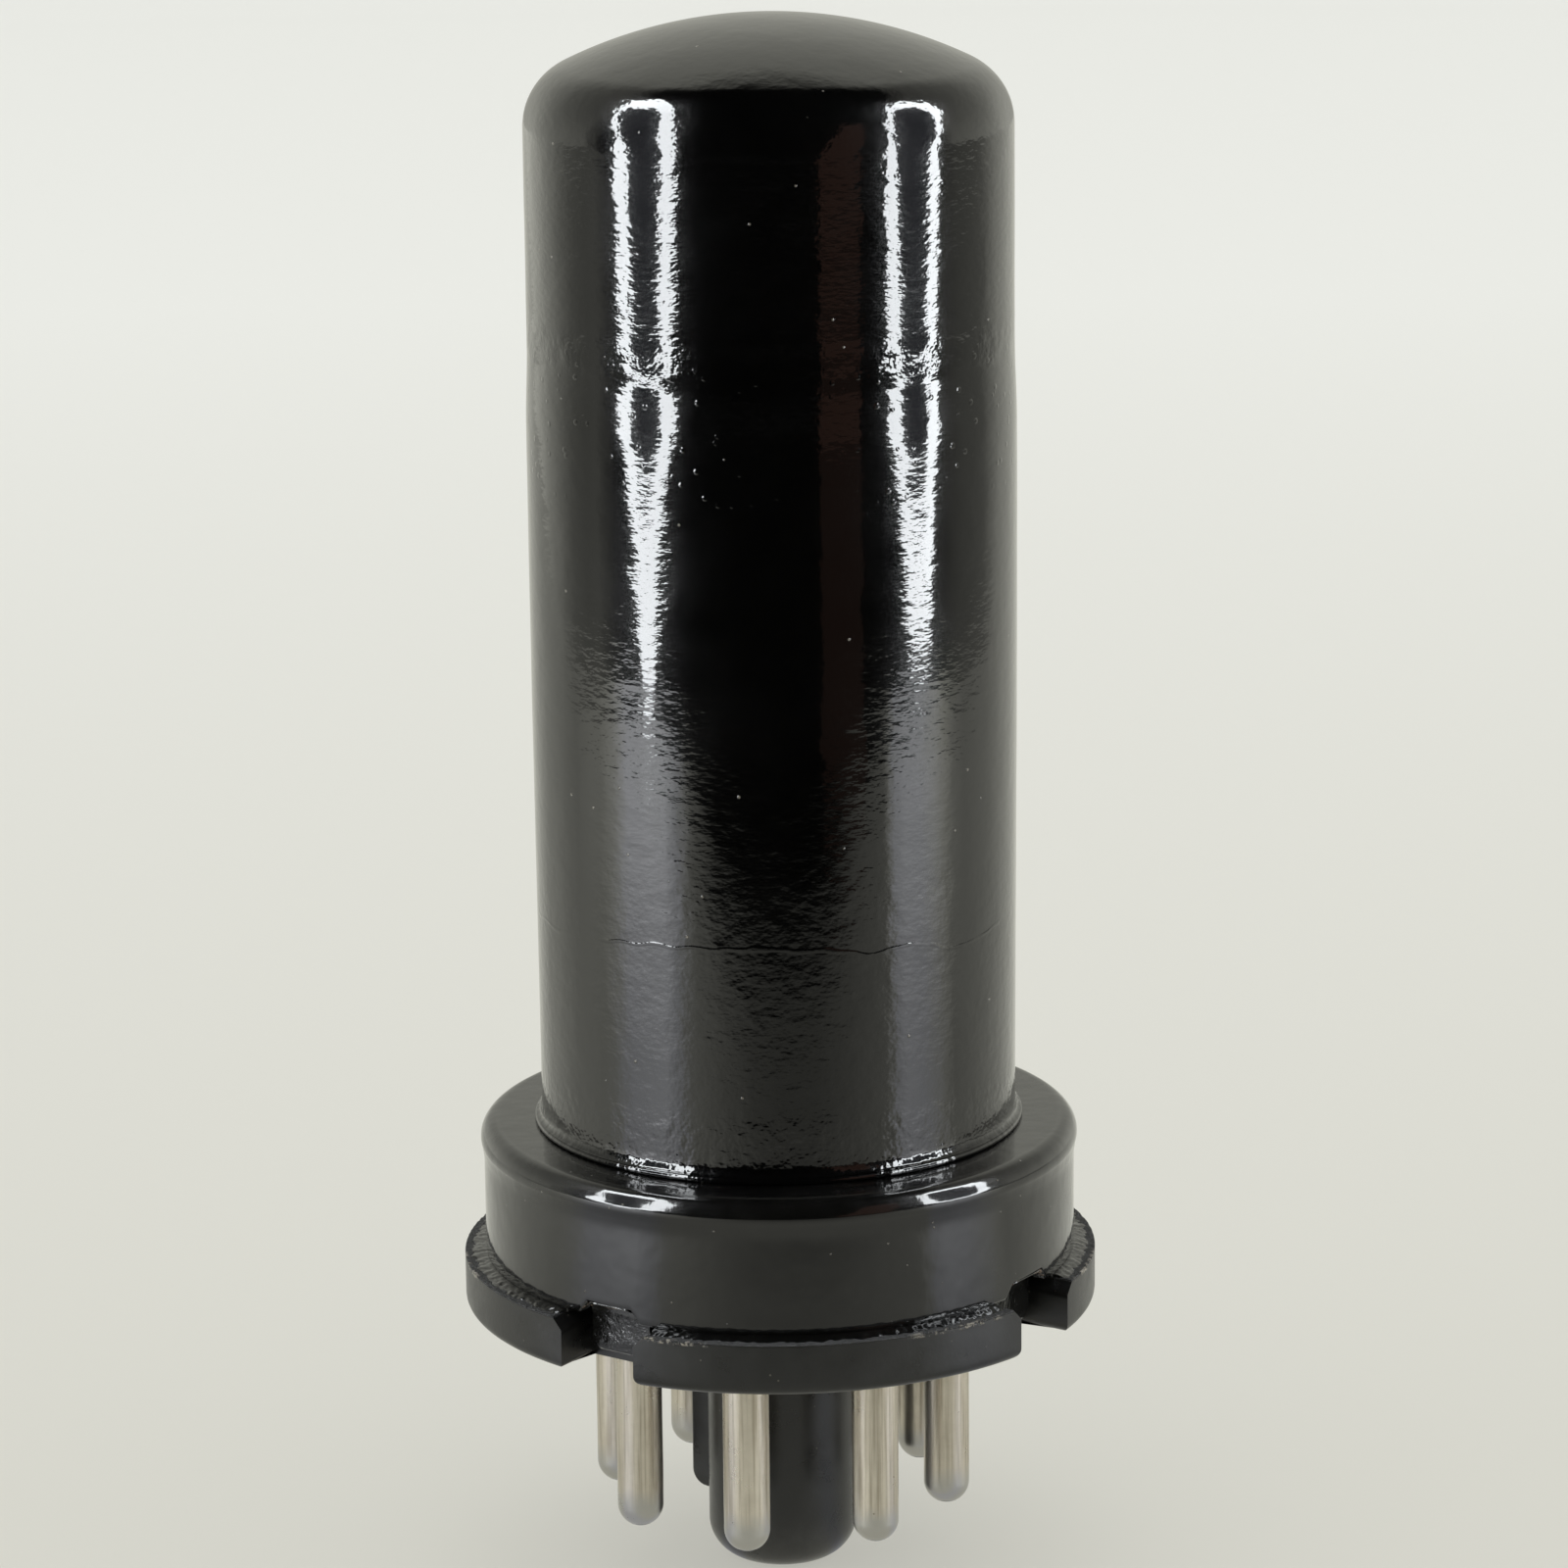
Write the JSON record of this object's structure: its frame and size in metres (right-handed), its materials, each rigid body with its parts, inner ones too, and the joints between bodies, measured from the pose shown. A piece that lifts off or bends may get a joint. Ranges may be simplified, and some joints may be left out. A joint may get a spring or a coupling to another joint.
{
  "type": "twin triode tube",
  "caption": "Electron tube with a domed black metal can, a crimped header ring and a keyed octal pin base, standing upright.",
  "frame": {"origin": "on the tube's axis at the seating plane, the underside of the wafer's flange", "axes": "+Z along the axis towards the dome, pins and guide post down; the guide post's key points to +Y, and pin 1 is next to the key, the numbers running clockwise seen from below"},
  "size_m": [0.0324, 0.0324, 0.0805],
  "materials": {
    "can_enamel": "gloss black baked enamel on drawn steel",
    "header_enamel": "gloss black enamel on drawn steel",
    "phenolic": "satin moulded phenolic",
    "pin_plating": "nickel-plated brass, drawn, dulled by age",
    "solder": "dull tin-lead solder",
    "lead_wire": "bare drawn wire",
    "eyelet_alloy": "drawn nickel-iron alloy, oxidised",
    "bead_glass": "fused glass bead",
    "bare_steel": "bare drawn steel tube, pinched and welded"
  },
  "bodies": {
    "root": {"envelope": "can_enamel", "header": "header_enamel", "base_wafer": "phenolic", "exhaust_tube": "bare_steel", "pin_1": "pin_plating", "pin_2": "pin_plating", "pin_3": "pin_plating", "pin_4": "pin_plating", "pin_5": "pin_plating", "pin_6": "pin_plating", "pin_7": "pin_plating", "pin_8": "pin_plating", "solder_1": "solder", "solder_2": "solder", "solder_3": "solder", "solder_4": "solder", "solder_5": "solder", "solder_6": "solder", "solder_7": "solder", "solder_8": "solder", "lead_1": "lead_wire", "lead_2": "lead_wire", "lead_3": "lead_wire", "lead_4": "lead_wire", "lead_5": "lead_wire", "lead_6": "lead_wire", "lead_7": "lead_wire", "lead_8": "lead_wire", "eyelet_2": "eyelet_alloy", "eyelet_3": "eyelet_alloy", "eyelet_4": "eyelet_alloy", "eyelet_5": "eyelet_alloy", "eyelet_6": "eyelet_alloy", "eyelet_7": "eyelet_alloy", "eyelet_8": "eyelet_alloy", "bead_2": "bead_glass", "bead_3": "bead_glass", "bead_4": "bead_glass", "bead_5": "bead_glass", "bead_6": "bead_glass", "bead_7": "bead_glass", "bead_8": "bead_glass"}
  },
  "joints": []
}
